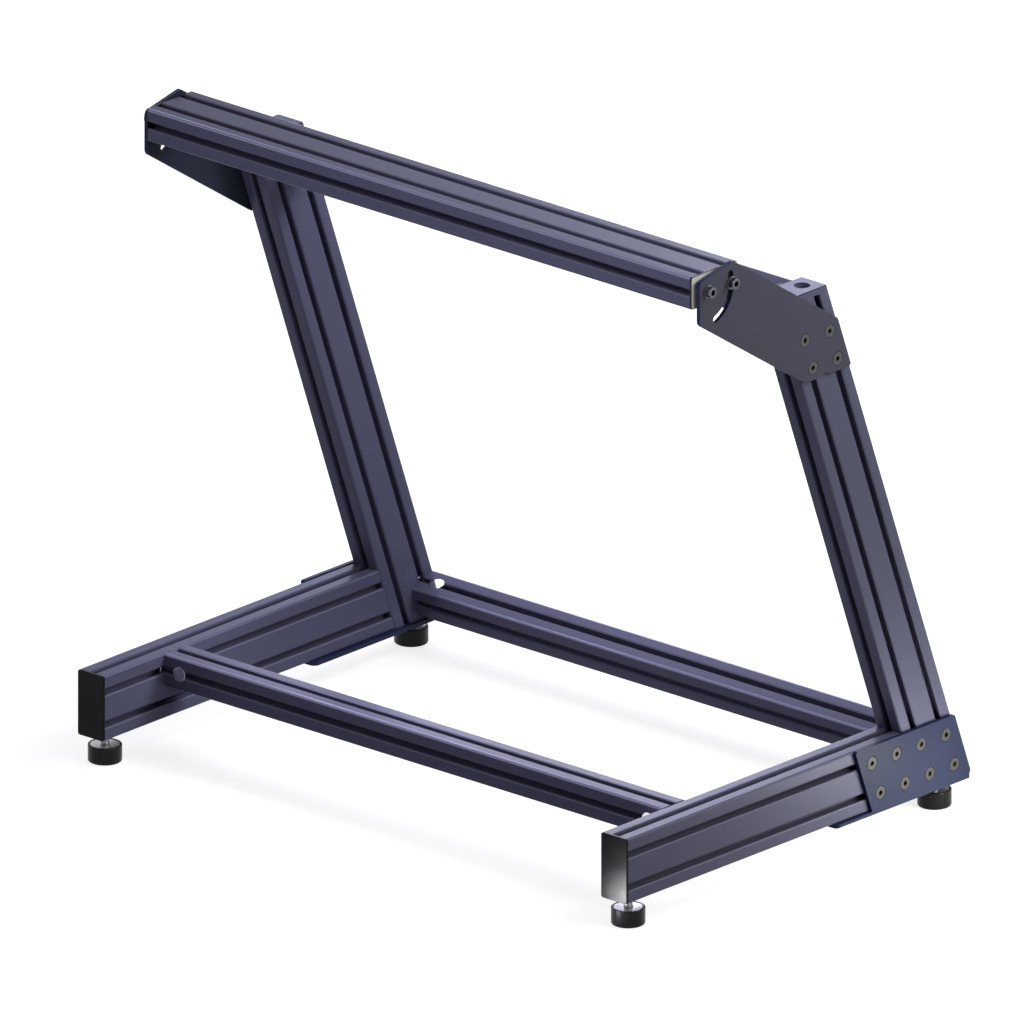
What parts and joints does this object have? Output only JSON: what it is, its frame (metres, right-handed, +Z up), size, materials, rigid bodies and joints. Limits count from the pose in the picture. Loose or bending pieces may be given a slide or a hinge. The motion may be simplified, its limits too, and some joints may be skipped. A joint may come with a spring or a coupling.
{
  "type": "racing wheel stand",
  "caption": "Open frame stand of slotted aluminium profile that holds a steering wheel base on a tilting bar above a pedal bay.",
  "frame": {"origin": "on the floor, at the middle of the stand's width and depth", "axes": "+X to the right along the tilting bar, +Y away from the driver, +Z up"},
  "size_m": [0.8762, 0.5892, 0.7773],
  "materials": {
    "anodised_profile": "dark violet-grey anodised aluminium, fine satin",
    "light_cap": "lighter satin violet-grey metal",
    "black_cap": "gloss black plastic",
    "blue_grey_paint": "blue-grey satin paint",
    "dark_grey_paint": "dark grey satin paint",
    "grey_screw": "grey plated steel",
    "dark_screw": "dark plated steel",
    "polished_fastener": "polished steel",
    "black_rubber": "gloss black moulding",
    "bright_steel": "bright plated steel"
  },
  "bodies": {
    "frame": {"front_cross_beam": "anodised_profile", "left_base_rail": "anodised_profile", "left_front_beam_fastener": "polished_fastener", "left_front_foot_pad": "black_rubber", "left_front_foot_stud": "bright_steel", "left_lower_bracket": "blue_grey_paint", "left_lower_bracket_screws": "grey_screw", "left_rail_end_cap": "black_cap", "left_rear_beam_fastener": "polished_fastener", "left_rear_foot_pad": "black_rubber", "left_rear_foot_stud": "bright_steel", "left_top_cap": "light_cap", "left_upper_beam_fastener": "polished_fastener", "left_upper_bracket": "dark_grey_paint", "left_upper_bracket_screws": "grey_screw", "left_upright": "anodised_profile", "rear_cross_beam": "anodised_profile", "right_base_rail": "anodised_profile", "right_front_beam_fastener": "polished_fastener", "right_front_foot_pad": "black_rubber", "right_front_foot_stud": "bright_steel", "right_lower_bracket": "blue_grey_paint", "right_lower_bracket_screws": "grey_screw", "right_rail_end_cap": "black_cap", "right_rear_beam_fastener": "polished_fastener", "right_rear_foot_pad": "black_rubber", "right_rear_foot_stud": "bright_steel", "right_top_cap": "light_cap", "right_upper_beam_fastener": "polished_fastener", "right_upper_bracket": "dark_grey_paint", "right_upper_bracket_screws": "grey_screw", "right_upright": "anodised_profile", "upper_cross_beam": "anodised_profile"},
    "tilting_bar": {"left_bar_end_cap": "black_cap", "left_lock_screw": "dark_screw", "left_pivot_screw": "dark_screw", "right_bar_end_cap": "black_cap", "right_lock_screw": "dark_screw", "right_pivot_screw": "dark_screw", "tilting_bar": "anodised_profile"}
  },
  "joints": [
    {"name": "bar_tilt", "type": "hinge", "parent": "frame", "child": "tilting_bar", "pos_m": [0, -0.15956, 0.752], "axis": [1, 0, 0], "range_deg": [-70, 15]}
  ]
}
